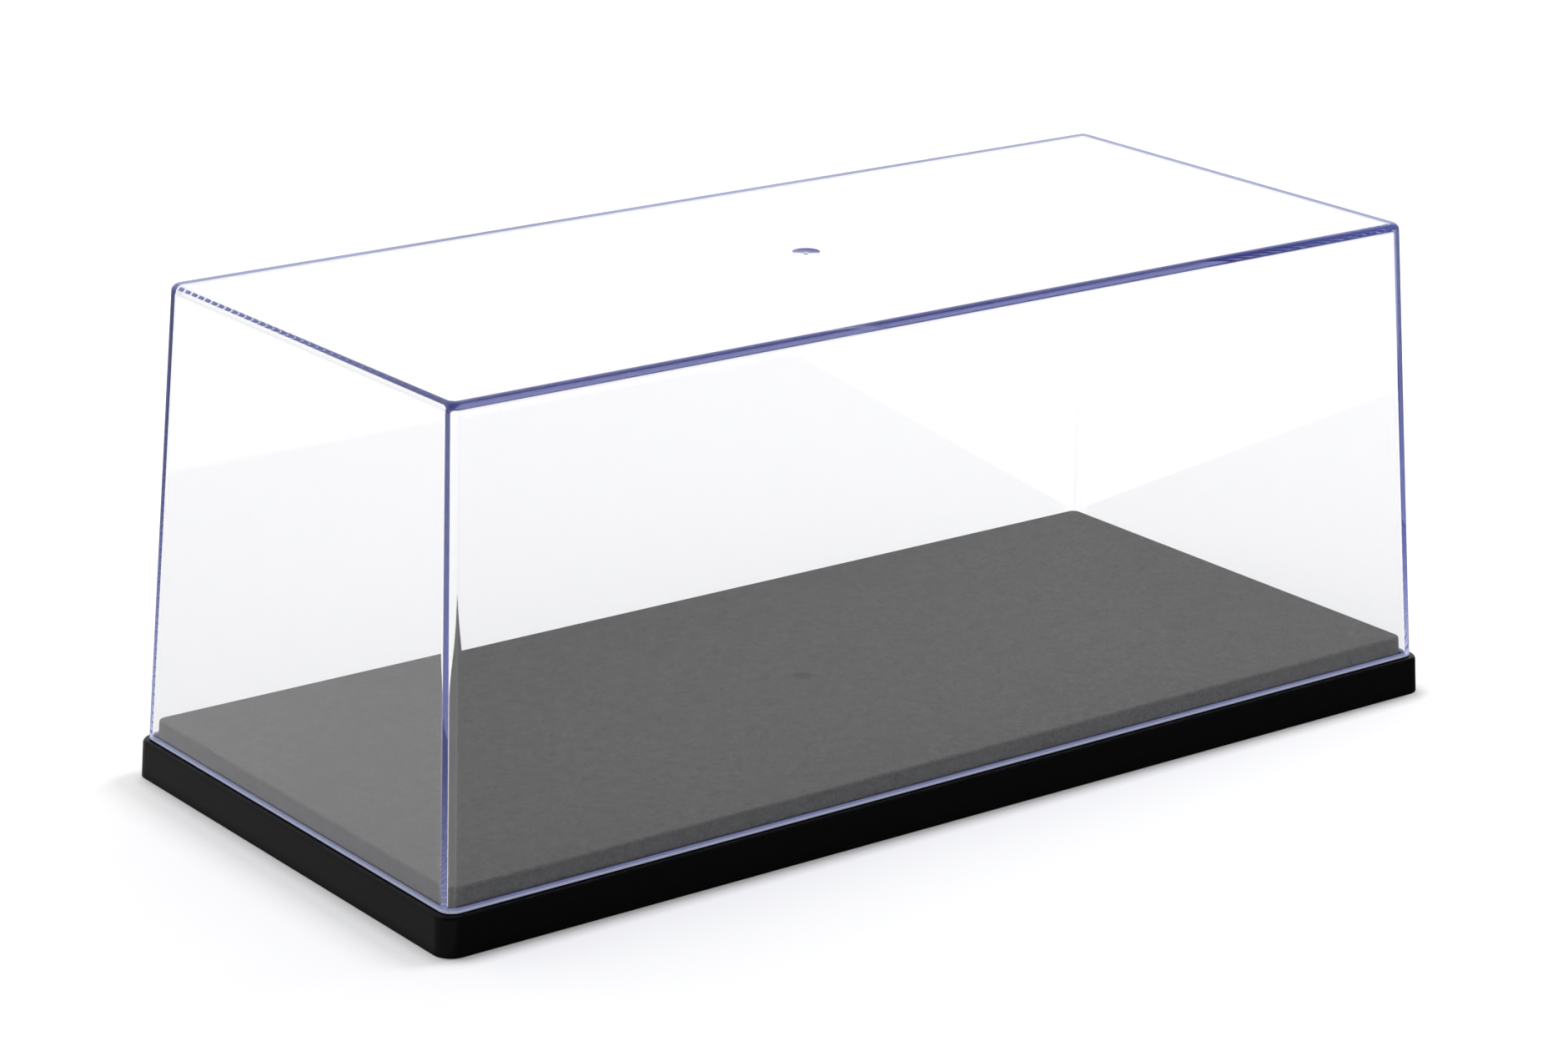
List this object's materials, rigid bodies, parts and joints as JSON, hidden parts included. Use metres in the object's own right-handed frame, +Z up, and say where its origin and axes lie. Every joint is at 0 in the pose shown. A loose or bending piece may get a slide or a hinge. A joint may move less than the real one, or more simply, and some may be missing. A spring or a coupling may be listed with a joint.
{
  "type": "model car display case",
  "caption": "Free-standing display case for a scale model: a clear tapered cover lifts off a low black plinth that carries a raised grey deck",
  "frame": {"origin": "middle of the plinth's footprint, on the surface that the case stands on", "axes": "+X along the long side, +Y across to the other long side, +Z up, the way the cover lifts"},
  "size_m": [0.325, 0.151, 0.1341],
  "materials": {
    "clear_plastic": "polished, clear, with a faint lavender tint in its edges",
    "grey_plastic": "matt, fine-grained",
    "black_plastic": "smooth, glossy"
  },
  "bodies": {
    "base": {"plinth_tray": "black_plastic", "display_deck": "grey_plastic"},
    "cover": {"clear_cover": "clear_plastic"}
  },
  "joints": [
    {"name": "cover_lift", "type": "slide", "parent": "base", "child": "cover", "axis": [0, 0, 1], "range_m": [0, 0.15]}
  ]
}
